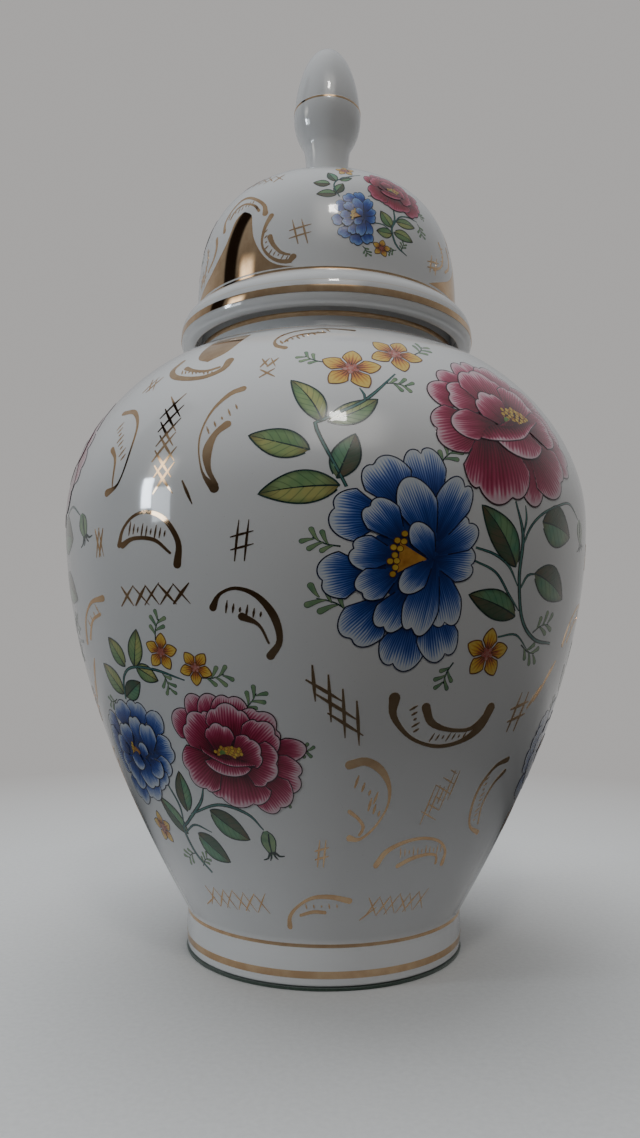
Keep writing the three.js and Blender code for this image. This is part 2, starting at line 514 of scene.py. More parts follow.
def makeLid():
    low, inner, outer = lid["flangeBottom"], lid["ringInner"], lid["ring"]
    roll, hollow, turn = lid["rollInner"], lid["rollInside"], lid["rollInsideEdge"]
    under, edge = lid["ringBottom"], lid["ringEdge"]
    section = [
        *reversed(domeLine), *flangeLine()[1:],
        (roll, low), *rounded((roll, low), (hollow, low), (hollow, low + turn)),
        (hollow, lid["seat"]), (outer, lid["seat"]),
        (outer, under + edge), *rounded((outer, under + edge), (outer, under), (outer - edge, under)),
        (inner + edge, under), *rounded((inner + edge, under), (inner, under), (inner, under + edge)),
        (inner, lid["domeBase"]),
        *domeCurve(lid["insideDome"], lid["insideBase"], lid["insideHeight"], lid["squareness"], 32),
    ]
    turnedPiece("lidShell", section, lid["steps"], [glazeLid], "lid", ["lid"])


def makeFinial():
    f = finial
    section = [
        (0, f["bottom"]), (f["foot"], f["bottom"]),
        *cubic((f["foot"], f["bottom"]), *f["stemPulls"], f["kink"], 16),
        *cubic(f["kink"], *f["cupPulls"], f["cup"], 14),
        *rounded(f["cup"], f["nutCrease"], f["nut"], 3),
        *cubic(f["nut"], *f["nutPulls"], (0, f["top"]), 24),
    ]
    turnedPiece("finialKnob", section, f["steps"], [glazeFinial], "lid", ["finial"])


makeJarBody()
makeLid()
makeFinial()
print("porcelain turned")


# gilt bands

bands = {
    "film": 0.05, "buried": 0.08,
    "footLow": (4.9, 7.8), "footHigh": (17.0, 18.35), "neck": (283.7, 286.0),
    "flange": (290.6, 293.8), "domeFoot": (304.2, 305.4), "ledge": (417.4, 418.5),
    "neckStop": 2, "flangeStart": 289.5,
}


def bandSection(line, low, high):
    # a thin film that follows the line between two heights, sunk a little into the glaze
    rising = line if line[-1][1] > line[0][1] else line[::-1]
    inside = [p for p in rising if low < p[1] < high]

    def atHeight(height):
        for a, b in zip(rising, rising[1:]):
            if a[1] <= height <= b[1] and b[1] > a[1]:
                return (a[0] + (b[0] - a[0]) * (height - a[1]) / (b[1] - a[1]), height)
        return rising[-1]

    course = [atHeight(low), *inside, atHeight(high)]
    outer = [(r + bands["film"], z) for r, z in course]
    inner = [(r - bands["buried"], z) for r, z in course]
    return outer + inner[::-1]


neckLine = [(jar["neck"], jar["neckBase"] + jar["neckCrease"]),
            (jar["neck"], jar["neckTop"] - bands["neckStop"])]
finialCup = [finial["kink"], *cubic(finial["kink"], *finial["cupPulls"], finial["cup"], 14)]
flangeSide = [*flangeLine()[1:lid["collarSteps"] + 1], (lid["flange"], bands["flangeStart"])]
domeFoot = [*flangeLine()[:3][::-1], *domeLine[1:3]]
for bandName, line, place, piece, body in (
        ("footBand", footLine, "footLow", jar, "jar"), ("footLine", footLine, "footHigh", jar, "jar"),
        ("neckBand", neckLine, "neck", jar, "jar"), ("flangeBand", flangeSide, "flange", lid, "lid"),
        ("domeLine", domeFoot, "domeFoot", lid, "lid"), ("ledgeLine", finialCup, "ledge", finial, "lid")):
    turnedPiece(bandName, bandSection(line, *bands[place]), piece["steps"], [gold], body,
                closed=True)
print("gilt bands laid")


# felt under the foot

feltPad = {
    "radius": 65, "thickness": 1.2, "edge": 0.5, "bulge": 0.12, "lip": 0.15, "steps": 220,
    "fuzz": 0.22, "fuzzGrain": 900, "fuzzWidth": 1, "fibres": 1400,
    "shades": [(0.3, (0.008, 0.022, 0.014)), (0.6, (0.020, 0.055, 0.032)), (0.75, (0.06, 0.11, 0.07))],
}


def makeFelt():
    finish, tree, shader = newFinish("greenFelt", 0.95, Sheen_Weight=0.5, Sheen_Roughness=0.6)
    fibre = speckle(tree, feltPad["fibres"], 4, 0.7)
    colourWith(tree, shader, ramped(tree, fibre, feltPad["shades"]))
    relief(tree, shader, fibre, 0.6, 0.0004)
    r, t, edge, bulge, lip = (feltPad[key] for key in ("radius", "thickness", "edge", "bulge", "lip"))
    section = [(0, 0), (r / 2, 0), (r - edge, 0), (r - bulge, lip), (r, t / 2), (r - bulge, t - lip),
               (r - edge, t), (r / 2, t), (0, t)]
    pad = turnedPiece("footFelt", section, feltPad["steps"], [finish], "jar", ["foot_felt"])
    for vert in pad.data.vertices:
        reach = math.hypot(vert.co.x, vert.co.y)
        if reach > (r - feltPad["fuzzWidth"]) * mm:
            push = 1 - feltPad["fuzz"] * mm * abs(noise.noise(vert.co * feltPad["fuzzGrain"])) / reach
            vert.co.x *= push
            vert.co.y *= push


makeFelt()
print("felt cut")


# painted work: every motif is drawn flat, then laid on the porcelain

film = {"buried": 0.08, "leaf": 0.04, "leafLine": 0.052, "stem": 0.046, "flower": 0.07,
        "layer": 0.02, "line": 0.009, "gold": 0.05, "turns": (0, 120, -115.5)}


def skinOf(line, radius):
    # where a flat design lands: distance up the line gives radius, height and outward direction
    return {"reach": reachOf(line), "line": line, "outward": sidesOf(line), "radius": radius}


sheetRadius = {"jar": 110, "lid": 58}
jarSkin = skinOf([*footLine[:-1], *belly], sheetRadius["jar"])
lidSkin = skinOf(domeLine, sheetRadius["lid"])


def ontoSkin(skin, x, y, lift, turn):
    reach = skin["reach"]
    k = min(max(bisect_right(reach, y) - 1, 0), len(reach) - 2)
    t = (y - reach[k]) / (reach[k + 1] - reach[k])
    r, z = (a + (b - a) * t for a, b in zip(skin["line"][k], skin["line"][k + 1]))
    out, up = (a + (b - a) * t for a, b in zip(skin["outward"][k], skin["outward"][k + 1]))
    r, z = r + out * lift, z + up * lift
    angle = x / skin["radius"] + turn
    return (r * math.sin(angle) * mm, -r * math.cos(angle) * mm, z * mm)


def newSheet():
    sheet = bmesh.new()
    sheet.loops.layers.uv.new("petal")
    return sheet


def flatGrid(sheet, columns, rows, shape, lift, tag=0):
    # a grid pulled to a flat shape; shape takes -1..1 across and 0..1 along
    grid = bmesh.ops.create_grid(sheet, x_segments=columns, y_segments=rows, size=1, calc_uvs=True)
    verts = grid["verts"]
    faces = list({face for vert in verts for face in vert.link_faces})
    way = sheet.loops.layers.uv["petal"]
    for face in faces:
        for loop in face.loops:
            loop[way].uv.x += tag
    for vert in verts:
        x, y = shape(vert.co.x, (vert.co.y + 1) / 2)
        vert.co = (x, y, lift)
    sinkFaces(sheet, faces)


def sinkFaces(sheet, faces):
    # gives a flat film its thickness, down into the glaze
    grown = bmesh.ops.extrude_face_region(sheet, geom=faces, use_keep_orig=True)["geom"]
    for part in grown:
        if isinstance(part, bmesh.types.BMVert):
            part.co.z = -film["buried"]


def dot(sheet, x, y, radius, lift, sides=10):
    made = bmesh.ops.create_circle(sheet, cap_ends=True, cap_tris=False, segments=sides, radius=radius,
                                   matrix=Matrix.Translation((x, y, lift)))
    sinkFaces(sheet, list({face for vert in made["verts"] for face in vert.link_faces}))


def pool(sheet, x, y, radius, lift):
    # a round area, cut fine enough to follow the curve of the porcelain
    def shape(u, t):
        v = 2 * t - 1
        return x + radius * u * math.sqrt(1 - v * v / 2), y + radius * v * math.sqrt(1 - u * u / 2)

    cells = max(4, round(radius * 0.8))
    flatGrid(sheet, cells, cells, shape, lift)


def ribbon(sheet, path, lift, spacing=1.8, knobs=False, soft=True):
    # a painted line; each point carries its own width
    line = flowing(path, spacing) if soft else path
    count = len(line) - 1
    sides = sidesOf(line)

    def shape(u, t):
        i = round(t * count)
        x, y, w = line[i]
        half = max(w, 0.06) / 2
        return x + sides[i][0] * half * u, y + sides[i][1] * half * u

    flatGrid(sheet, 1, count, shape, lift)
    if knobs:
        for x, y, w in (line[0], line[-1]):
            dot(sheet, x, y, w / 2, lift - 0.002, 12)


def outline(lines, rim, lineWidth, lift):
    ribbon(lines, [(x, y, lineWidth) for x, y in rim], lift, soft=False)


def headingOf(base, tip):
    length = math.dist(base, tip)
    return length, ((tip[0] - base[0]) / length, (tip[1] - base[1]) / length)


petalForm = {
    "lean": 0.16, "leanRate": 2.3, "roundest": 0.56, "rounding": 0.28, "broadRounding": 0.22,
    "cusp": 0.55, "lobeDepth": 0.17, "lobeShallower": 0.015, "lobeFade": 0.35,
    "foot": 0.14, "lobedFoot": 0.13, "swell": 0.85,
    "tipRounding": 0.36, "tipCut": 0.16, "tipSwell": 1.1, "rowLength": 2.2, "sideSteps": 6,
}


def petalShape(base, tip, width, lobes, tag):
    # a fan with a rounded, scalloped end; no lobes at all gives a pointed petal
    form = petalForm
    length, ahead = headingOf(base, tip)
    lean = form["lean"] * math.sin(tag * form["leanRate"]) if lobes > 1 else 0
    rounding = min(form["roundest"], form["rounding"] + form["broadRounding"] * width / length)

    def shape(u, t):
        wide = math.sin(u * math.pi / 2)
        middle = math.cos(u * math.pi / 2)
        full = math.sin(t * math.pi / 2)
        if lobes:
            swing = u + lean * (1 - u * u)
            cusp = 1 - abs(math.sin(lobes * math.pi * (swing + 1) / 2)) ** form["cusp"]
            depth = (form["lobeDepth"] - form["lobeShallower"] * lobes) * middle ** form["lobeFade"]
            edge = 1 - rounding * (1 - middle) - depth * cusp
            narrow = form["foot"] + form["lobedFoot"] * (lobes - 1)
            half = narrow + (1 - narrow) * full ** form["swell"]
        else:
            edge = 1 - form["tipRounding"] * (1 - middle) - form["tipCut"] * abs(wide)
            half = form["foot"] + (1 - form["foot"]) * full ** form["tipSwell"]
        far = length * t * (1 + (edge - 1) * t)
        out = width / 2 * half * wide
        return (base[0] + ahead[0] * far + ahead[1] * out,
                base[1] + ahead[1] * far - ahead[0] * out)

    return shape, length


def petal(petals, lines, row, lift, tag, lineWidth):
    baseX, baseY, tipX, tipY, width, lobes = row
    shape, length = petalShape((baseX, baseY), (tipX, tipY), width, lobes, tag)
    columns = 6 + 4 * max(lobes, 1)
    flatGrid(petals, columns, max(5, round(length / petalForm["rowLength"])), shape, lift, tag)
    steps, turns = petalForm["sideSteps"], 2 * columns
    rim = [shape(-1, t / steps) for t in range(1, steps)]
    rim += [shape(-1 + 2 * i / turns, 1) for i in range(turns + 1)]
    rim += [shape(1, t / steps) for t in range(steps - 1, 0, -1)]
    outline(lines, rim, lineWidth, lift + film["line"])


def fold(petals, lines, inner, outer, lift, tag, lineWidth):
    # a petal seen edge on: a strip between an inner and an outer line
    strips = [evenly(flowing(path, 0.8), 1.6) for path in (inner, outer)]

    def shape(u, t):
        a, b = (pickAlong(strip, (u + 1) / 2) for strip in strips)
        return tuple(p + (q - p) * t for p, q in zip(a, b))

    flatGrid(petals, 22, 4, shape, lift, tag)
    rim = [shape(-1, 0), *(shape(-1 + i / 14, 1) for i in range(29)), shape(1, 0)]
    outline(lines, rim, lineWidth, lift + film["line"])


def pickAlong(line, t):
    place = t * (len(line) - 1)
    k = min(int(place), len(line) - 2)
    return [a + (b - a) * (place - k) for a, b in zip(line[k], line[k + 1])]


leafForm = {"swell": 0.85, "blunt": 0.1, "rowLength": 2, "columns": 6, "ribSteps": 8,
            "ribWidths": (1.2, 0.9), "layer": 0.0007, "layers": 7, "ribLift": 0.002}


def leaf(leaves, lines, row, tag, lineWidth):
    # base, tip, width and bend; a negative width turns its darker half over
    base, tip, width, bend = row
    form = leafForm
    length, ahead = headingOf(base, tip)

    def shape(u, t):
        half = width / 2 * max(math.sin(math.pi * t ** form["swell"]), 0) ** form["swell"] * u
        half += bend * length * 4 * t * (1 - t)
        if t in (0, 1):
            half += form["blunt"] * u
        far = length * t
        return base[0] + ahead[0] * far + ahead[1] * half, base[1] + ahead[1] * far - ahead[0] * half

    rows = max(7, round(length / form["rowLength"]))
    flatGrid(leaves, form["columns"], rows, shape,
             film["leaf"] + form["layer"] * (tag % form["layers"]), tag)
    turns = 2 * rows
    rim = [shape(-1, i / turns) for i in range(turns + 1)]
    rim += [shape(1, i / turns) for i in range(turns - 1, 0, -1)]
    outline(lines, rim, lineWidth, film["leafLine"])
    start, thinning = form["ribWidths"]
    count = form["ribSteps"]
    rib = [(*shape(0, i / count), lineWidth * (start - thinning * i / count)) for i in range(count + 1)]
    ribbon(lines, rib, film["leafLine"] + form["ribLift"])


leaflets = [(0.76, 0.16, 0.26), (0.60, -0.26, 0.30), (0.48, 0.30, 0.28), (0.34, -0.28, 0.26),
            (0.20, 0.24, 0.22)]  # start along the stalk, swing to the side, reach


def stalk(x, y, heading, size, hand, swell):
    # turns a place along and beside a stalk, with a width there, into a flat point
    turn = math.radians(heading)
    ahead, aside = (math.sin(turn), math.cos(turn)), (math.cos(turn) * hand, -math.sin(turn) * hand)

    def place(far, out, width):
        return (x + size * (ahead[0] * far + aside[0] * out),
                y + size * (ahead[1] * far + aside[1] * out), width * swell)

    return place


def sprig(greens, lines, x, y, heading, size, tag, lineWidth):
    # a little spray of curled leaflets on one bent stalk
    place = stalk(x, y, heading, size, 1 if tag % 2 else -1, 1)
    ribbon(lines, [place(0, 0, lineWidth * 1.7), place(0.4, 0.07, lineWidth * 1.4),
                   place(0.8, 0.0, lineWidth)], film["stem"])
    full = size * 0.085
    for index, (start, side, reach) in enumerate(leaflets):
        foot, knee = (start, 0.05), (start + reach * 0.45, 0.05 + side * 0.35)
        end = (start + reach, 0.05 + side)
        for sheet, extra, lift in ((lines, lineWidth, 0), (greens, 0, 0.006)):
            ribbon(sheet, [place(*foot, extra + 0.2), place(*knee, full * 0.8 + extra),
                           place(*end, full * 1.5 + extra)], film["stem"] + lift + 0.001 * index,
                   spacing=0.9, knobs=True)


def bud(greens, lines, x, y, heading, size):
    # a closed bud: a round cup that narrows to its curled tips
    place = stalk(x, y, heading, size, 1, size)
    for sheet, extra, lift in ((lines, 0.08, 0.004), (greens, 0, 0.010)):
        ribbon(sheet, [place(0, 0, 0.10 + extra), place(0.16, 0, 0.40 + extra), place(0.40, 0, 0.52 + extra),
                       place(0.66, 0, 0.34 + extra), place(0.86, 0, 0.12 + extra)], film["stem"] + lift)
    ribbon(lines, [place(0.1, -0.10, 0.05), place(0.4, -0.02, 0.07), place(0.8, 0.02, 0.04)],
           film["stem"] + 0.016)
    for side in (-0.30, -0.10, 0.12, 0.30):
        ribbon(lines, [place(0.76, side * 0.3, 0.09), place(0.95, side * 0.8, 0.07),
                       place(1.10 - abs(side) * 0.4, side * 1.5, 0.03)], film["stem"] + 0.018)


star = {"petals": 5, "foot": 0.06, "width": 0.64, "step": 0.004,
        "raySpread": (-16, 0, 16), "rayFrom": 0.18, "rayTo": 0.46, "rayWidths": (0.05, 0.02),
        "stamensAt": 0.20, "stamenSize": 0.075, "eyeSize": 0.10,
        "rayLift": 0.024, "stamenLift": 0.034, "eyeLift": 0.036, "dotSides": 8}


def starFlower(petals, lines, hearts, x, y, radius, turn, lift, tag, lineWidth):
    count = star["petals"]

    def out(degrees, share):
        way = math.radians(turn + degrees)
        return x + math.sin(way) * radius * share, y + math.cos(way) * radius * share

    for i in range(count):
        way = 360 * i / count
        petal(petals, lines, (*out(way, star["foot"]), *out(way, 1), radius * star["width"], 0),
              lift + star["step"] * i, tag + i, lineWidth)
        for spread in star["raySpread"]:
            ends = zip((star["rayFrom"], star["rayTo"]), star["rayWidths"])
            ribbon(lines, [(*out(way + spread, share), radius * width) for share, width in ends],
                   lift + star["rayLift"])
    for i in range(count):
        dot(hearts, *out(360 * (i + 0.5) / count, star["stamensAt"]), radius * star["stamenSize"],
            lift + star["stamenLift"], star["dotSides"])
    dot(hearts, x, y, radius * star["eyeSize"], lift + star["eyeLift"], star["dotSides"])


def layMotif(name, sheets, skin, body):
    # joins the flat sheets of a motif and lays a copy at each repeat round the porcelain
    whole = bmesh.new()
    finishes = []
    for index, (sheet, finish) in enumerate(sheets):
        for face in sheet.faces:
            face.material_index = index
        part = bpy.data.meshes.new("flat")
        bmesh.ops.recalc_face_normals(sheet, faces=sheet.faces)
        sheet.to_mesh(part)
        sheet.free()
        whole.from_mesh(part)
        bpy.data.meshes.remove(part)
        finishes.append(finish)
    flat = bpy.data.meshes.new(name)
    whole.to_mesh(flat)
    whole.free()
    for repeat, degrees in enumerate(film["turns"]):
        mesh = flat.copy()
        turn = math.radians(degrees)
        for vert in mesh.vertices:
            vert.co = ontoSkin(skin, *vert.co, turn)
        mesh.update()
        placeMesh(f"{name}_{repeat}", mesh, finishes, body)
    bpy.data.meshes.remove(flat)


def makeFlower(name, flower, heart, skin, body, glazes, lineWidth=0.48):
    bed, petals, lines = newSheet(), newSheet(), newSheet()
    level = film["flower"]
    sheets = list(zip((petals, lines, bed), glazes))
    for index, (x, y, radius) in enumerate(flower["bed"]):
        pool(bed, x, y, radius, level - 0.01 - 0.002 * index)
    for index, row in enumerate(flower["petals"]):
        if row == "heart":
            sheets += heart(level)
            level += 0.02
        elif len(row) == 2:
            fold(petals, lines, *row, level, index, lineWidth)
        else:
            petal(petals, lines, row, level, index, lineWidth)
        level += film["layer"]
    layMotif(name, sheets, skin, body)


# Petals run base x, base y, tip x, tip y, width, lobes, from the back to the front.
# A row of two lines is a petal seen edge on. The bed fills in under the petals.
bluePeony = {
    "bed": [(31, 189, 9), (29, 174, 10), (35, 181, 9), (20, 183, 7)],
    "petals": [
        (35, 200, 30.5, 223, 15, 2), (25, 200, 15.5, 217.5, 17, 2), (18, 196, 0.5, 196.5, 19, 2),
        (14, 176, -3, 173.5, 17, 2), (20, 166, 7, 150.5, 17, 2), (29, 160, 25, 139.5, 17, 2),
        (36, 165, 42, 143, 16, 2), (36, 180, 43, 155.5, 14, 2), (36, 181, 52, 180.5, 15, 2),
        (36.5, 184, 51, 195.5, 13, 2), (36, 188, 46.5, 212, 13, 2), (35, 186, 26, 210.5, 14, 1),
        (24, 188.5, 13.5, 201.5, 13, 2), (22, 182, 7, 183, 13, 2), (23, 176, 10, 168.5, 12, 2),
        (27, 170, 18.5, 154.5, 12, 2), (35.5, 180, 30, 152.5, 13, 2), "heart",
        (35.5, 181, 28.5, 194.2, 9, 1), (35, 181, 25, 169, 9.5, 1),
    ],
}
pinkPeony = {
    "bed": [(66, 238, 13), (80, 236, 12), (66, 226, 10), (84, 226, 8)],
    "petals": [
        (70, 250, 61, 273, 22, 2), (75, 250, 84, 273, 26, 3), (80, 245, 106, 258, 24, 2),
        (80, 240, 110, 243, 20, 2), (85, 238, 110, 224, 18, 2), (58, 250, 45.5, 261, 13, 1),
        (54, 245, 38, 250.5, 15, 1), (56, 235, 36, 229, 21, 2), (74, 228, 79, 204.5, 14, 1),
        (80, 230, 98, 213, 26, 2), (61, 232, 62, 203, 30, 3), (64, 246, 45, 249, 17, 2),
        (64, 236, 44, 233.5, 14, 1), (68, 243, 66, 267, 27, 3), (76, 242, 91, 257, 23, 3),
        (82, 240, 102, 240, 18, 2), (71, 238, 61, 251.5, 18, 3), "heart",
        (75, 240, 73, 223.5, 28, 1),
        ([(55, 229), (58, 233.2), (63, 236), (68, 236.2), (76, 238.5), (84, 241.8), (92, 243.8)],
         [(55.4, 228.8), (60, 228.6), (66, 229.2), (72, 230.6), (78, 232.8), (85, 238.6), (92, 243.4)]),
    ],
}
smallPeony = {
    "bed": [(-40, 106, 10), (-31, 104, 9), (-42, 98, 7), (-28, 97, 6)],
    "petals": [
        (-50, 112, -62.5, 122, 14, 1), (-46, 114, -53, 130, 11, 1), (-43, 115, -45, 130.5, 12, 1),
        (-38, 115, -34.5, 130.5, 16, 2), (-35, 108, -19, 122, 20, 3), (-25, 107, -7, 109.5, 10, 1),
        (-30, 103, -8.5, 95, 17, 2), (-28, 98, -17, 83, 19, 2), (-37, 100, -38, 83, 30, 3),
        (-45, 105, -61, 94, 22, 3), (-44, 108, -55.5, 121.5, 19, 3), (-38, 110, -37, 127, 19, 3),
        (-32, 106, -19.5, 118.5, 17, 3), (-33, 105, -18.5, 100, 20, 3), (-42, 107, -42, 119, 13, 3),
        (-36, 104.5, -25.5, 110.5, 15, 3), "heart",
        (-40, 106, -41, 96.8, 21, 1),
        ([(-52, 109), (-47, 106.6), (-42, 104.6), (-37, 104.4), (-32, 103.6), (-28, 102.2)],
         [(-51, 106.5), (-46, 103.6), (-41, 101.6), (-37, 101), (-32, 101.4), (-28, 101.8)]),
    ],
}
smallBlue = {
    "bed": [(-93, 106, 11), (-88, 98, 11), (-100, 98, 9), (-83, 105, 8)],
    "petals": [
        (-86, 114, -83.5, 126.5, 15, 2), (-95, 114, -97.5, 126, 15, 2), (-104, 110, -114, 118.5, 13, 2),
        (-79, 111, -70.5, 121.5, 11, 1), (-79, 105, -66.5, 107, 13, 2), (-82, 99, -71, 97.5, 10, 1),
        (-84, 97, -80, 87.5, 15, 2), (-92, 96, -93, 80.5, 18, 2), (-102, 94, -108, 78, 17, 2),
        (-106, 100, -119, 98, 15, 2), (-106, 106, -118, 109, 13, 2), (-88, 106, -88, 120, 10, 2),
        (-83, 103, -79.5, 117, 11, 2), (-96, 105, -99.5, 116, 12, 2), (-101, 103, -110, 107.5, 10, 2),
        (-100, 99, -111.5, 95, 11, 2), (-96, 98, -106, 87, 14, 2), (-90, 100, -89, 86.5, 15, 2),
        (-84, 101, -79, 93, 11, 1), "heart",
        (-93, 103.5, -96, 95.2, 10, 1), (-89, 101, -85.5, 107.8, 7, 1),
    ],
}


def shifted(flower, centre, target, scale):
    def moved(values):
        return [(v - centre[k % 2]) * scale + target[k % 2] for k, v in enumerate(values)]

    rows = []
    for row in flower["petals"]:
        if row == "heart":
            rows.append(row)
        elif len(row) == 2:
            rows.append(tuple([tuple(moved(point)) for point in path] for path in row))
        else:
            rows.append((*moved(row[:4]), row[4] * scale, row[5]))
    return {"bed": [(*moved(spot[:2]), spot[2] * scale) for spot in flower["bed"]], "petals": rows}


def coneHeart(points, dots, dotSize):
    # an orange wedge with pollen along its wide end
    def build(level):
        cone, pollen, rings = newSheet(), newSheet(), newSheet()
        a, b, c = points
        middle = ((b[0] + c[0]) / 2, (b[1] + c[1]) / 2)
        ribbon(cone, [(*a, 0.6), ((a[0] + middle[0]) / 2, (a[1] + middle[1]) / 2, math.dist(b, c) * 0.5),
                      (*middle, math.dist(b, c))], level)
        for index, (x, y) in enumerate(dots):
            dot(rings, x, y, dotSize * 1.28, level + 0.004 + 0.002 * index)
            dot(pollen, x, y, dotSize, level + 0.005 + 0.002 * index)
        return [(cone, inks["coneOrange"]), (pollen, inks["stamenYellow"]), (rings, inks["brownInk"])]
    return build


def fieldHeart(left, right, low, high, count, dotSize, eyeShift):
    # stamens crowded into an oval, with a green eye at its lower corner
    def build(level):
        bed, pollen, rings, eye = newSheet(), newSheet(), newSheet(), newSheet()
        x0, y0 = (left + right) / 2, (low + high) / 2
        wide, tall = (right - left) / 2, (high - low) / 2
        ribbon(bed, [(x0 - wide * 0.9, y0 - tall * 0.3, tall * 0.8), (x0, y0, tall * 1.9),
                     (x0 + wide * 0.9, y0 + tall * 0.1, tall * 0.8)], level)
        for i in range(count):
            way = i * 2.4
            out = math.sqrt((i + 0.5) / count)
            x, y = x0 + math.cos(way) * out * wide, y0 + math.sin(way) * out * tall
            dot(rings, x, y, dotSize * 1.25, level + 0.004 + 0.001 * i, 8)
            dot(pollen, x, y, dotSize, level + 0.0045 + 0.001 * i, 8)
        dot(eye, x0 + eyeShift[0], y0 + eyeShift[1], dotSize * 1.9, level + 0.006 + 0.001 * count, 12)
        return [(bed, inks["coneOrange"]), (pollen, inks["stamenYellow"]), (rings, inks["brownInk"]),
                (eye, inks["stamenGreen"])]
    return build


blueGlazes = (blueEnamel, inks["navyInk"], inks["deepBlue"])
pinkGlazes = (pinkEnamel, inks["plumInk"], inks["deepPink"])
coneDots = [(23, 187.5), (25.2, 187.2), (21.8, 185), (24, 184.6), (22.3, 182.2), (20.8, 180),
            (23, 180.2), (22.6, 177.8), (21.8, 175.4), (25.4, 190)]
makeFlower("bluePeony", bluePeony, coneHeart([(33, 181), (24, 187), (23.4, 176)], coneDots, 1.0),
           jarSkin, "jar", blueGlazes)
makeFlower("pinkPeony", pinkPeony, fieldHeart(69, 85, 238, 247, 24, 0.9, (-6, -3)),
           jarSkin, "jar", pinkGlazes)
makeFlower("smallPeony", smallPeony, fieldHeart(-45, -32.5, 104.2, 109.6, 18, 0.7, (-3, -0.4)),
           jarSkin, "jar", pinkGlazes, 0.42)
smallDots = [((x - 24) * 0.35 - 95.6, (y - 182) * 0.5 + 103) for x, y in coneDots]
makeFlower("smallBlue", smallBlue, coneHeart([(-91, 103), (-95.6, 106.4), (-95.4, 99.4)], smallDots, 0.7),
           jarSkin, "jar", blueGlazes, 0.42)
lidDots = [((x - 24.5) * 0.33 + 11, (y - 181.5) * 0.33 + 25.5) for x, y in coneDots]
makeFlower("lidBlue", shifted(bluePeony, (24.5, 181.5), (11, 25), 0.335),
           coneHeart([(13.6, 25.4), (10.8, 27), (10.8, 24)], lidDots, 0.42), lidSkin, "lid",
           (blueOnLid, inks["navyInk"], inks["deepBlue"]), 0.28)
makeFlower("lidPeony", shifted(smallPeony, (-36.5, 106.5), (31.6, 44), 0.51),
           fieldHeart(28, 35, 42.8, 46, 12, 0.42, (-1.5, -0.4)), lidSkin, "lid",
           (pinkOnLid, inks["plumInk"], inks["deepPink"]), 0.28)
print("flowers painted")


# leaves, stems, buds and small yellow flowers
# places are degrees round the piece and millimetres up its side

def around(skin, place):
    degrees, up, *rest = place
    return (math.radians(degrees) * skin["radius"], up, *rest)


def layFoliage(name, foliage, skin, body):
    leaves, lines, cores, greens, petals, rays, hearts = (newSheet() for _ in range(7))
    size = foliage["line"]
    for tag, (base, tip, width, bend) in enumerate(foliage["leaves"]):
        leaf(leaves, lines, (around(skin, base), around(skin, tip), width, bend), tag, size)
    for width, path in foliage["stems"]:
        tapers = [0.75, *[1.0] * (len(path) - 2), 0.4]
        for sheet, share, lift in ((lines, 1.15, 0), (cores, 0.5, 0.008)):
            ribbon(sheet, [(*around(skin, place), width * share * taper)
                           for place, taper in zip(path, tapers)], film["stem"] + lift)
    for tag, (degrees, up, heading, reach) in enumerate(foliage["sprigs"]):
        sprig(greens, lines, *around(skin, (degrees, up)), heading, reach, tag, size * 0.6)
    for degrees, up, heading, reach in foliage["buds"]:
        bud(greens, lines, *around(skin, (degrees, up)), heading, reach)
    for tag, (degrees, up, radius, turn) in enumerate(foliage["stars"]):
        starFlower(petals, rays, hearts, *around(skin, (degrees, up)), radius, turn, film["flower"],
                   5 * tag, size * 0.8)
    layMotif(name, [(leaves, leafEnamel), (lines, inks["greenInk"]), (cores, inks["stemTeal"]),
                    (greens, inks["sageGreen"]), (petals, yellowEnamel), (rays, inks["brownInk"]),
                    (hearts, inks["stamenPink"])], skin, body)


largeFoliage = {
    "line": 0.6,
    "leaves": [
        ((-0.6, 231.4), (-6.7, 251.4), 9, 0.06), ((0.3, 231.4), (9.4, 242), -9, 0.05),
        ((-2.7, 220), (-13.3, 226.4), -11, 0.0), ((2.3, 206.8), (-11.2, 204), -12, 0.03),
        ((1.8, 209.4), (5, 226.4), -9.5, 0.0), ((36.5, 180.4), (27.9, 202.4), 12, 0.05),
        ((37.8, 161.4), (26.1, 168.8), 11, 0.03), ((43.5, 199), (54.7, 195.4), 17, -0.05),
        ((42, 178.4), (53.9, 169.4), 14, -0.05),
    ],
    "stems": [
        (1.3, [(3.4, 206.4), (-1.6, 228.4), (-0.3, 232.4), (7, 241.4), (13.8, 256.4)]),
        (0.9, [(7, 241.4), (7, 244), (6.2, 247.4)]),
        (1.5, [(51.9, 150.8), (45, 152.4), (39.9, 160.4), (37.6, 176.4), (37.8, 192.4), (35.7, 205.4)]),
        (0.9, [(37.8, 192.4), (38.6, 199), (38.3, 204.4)]),
        (1.0, [(37.8, 188.4), (39.9, 196.4), (43.5, 202.4), (49, 207), (54.5, 209.4), (59.7, 204.4)]),
        (1.0, [(26.8, 186.4), (31, 184.4), (34.6, 180.4), (37.4, 173)]),
        (0.9, [(26.8, 181.4), (31.6, 177.6), (35.4, 169.4), (38.6, 163.4)]),
        (1.0, [(38.3, 172.4), (39.9, 177.4), (42.5, 178.4)]),
        (0.8, [(34, 153), (38.8, 154), (43, 148.4)]),
    ],
    "sprigs": [
        (-0.5, 262, -60, 11), (20.5, 272, 40, 13), (11, 250.5, 95, 11), (4.5, 161, -65, 16),
        (2.5, 185, -70, 12), (24.5, 143, -160, 11), (19.5, 215, 40, 12), (41, 150, 110, 13),
        (44, 155, 70, 14),
    ],
    "buds": [(60.5, 204.5, 160, 13)],
    "stars": [(4.95, 258.4, 12.2, 8), (15.4, 270.4, 12, 30), (32, 146.4, 10, 4)],
}
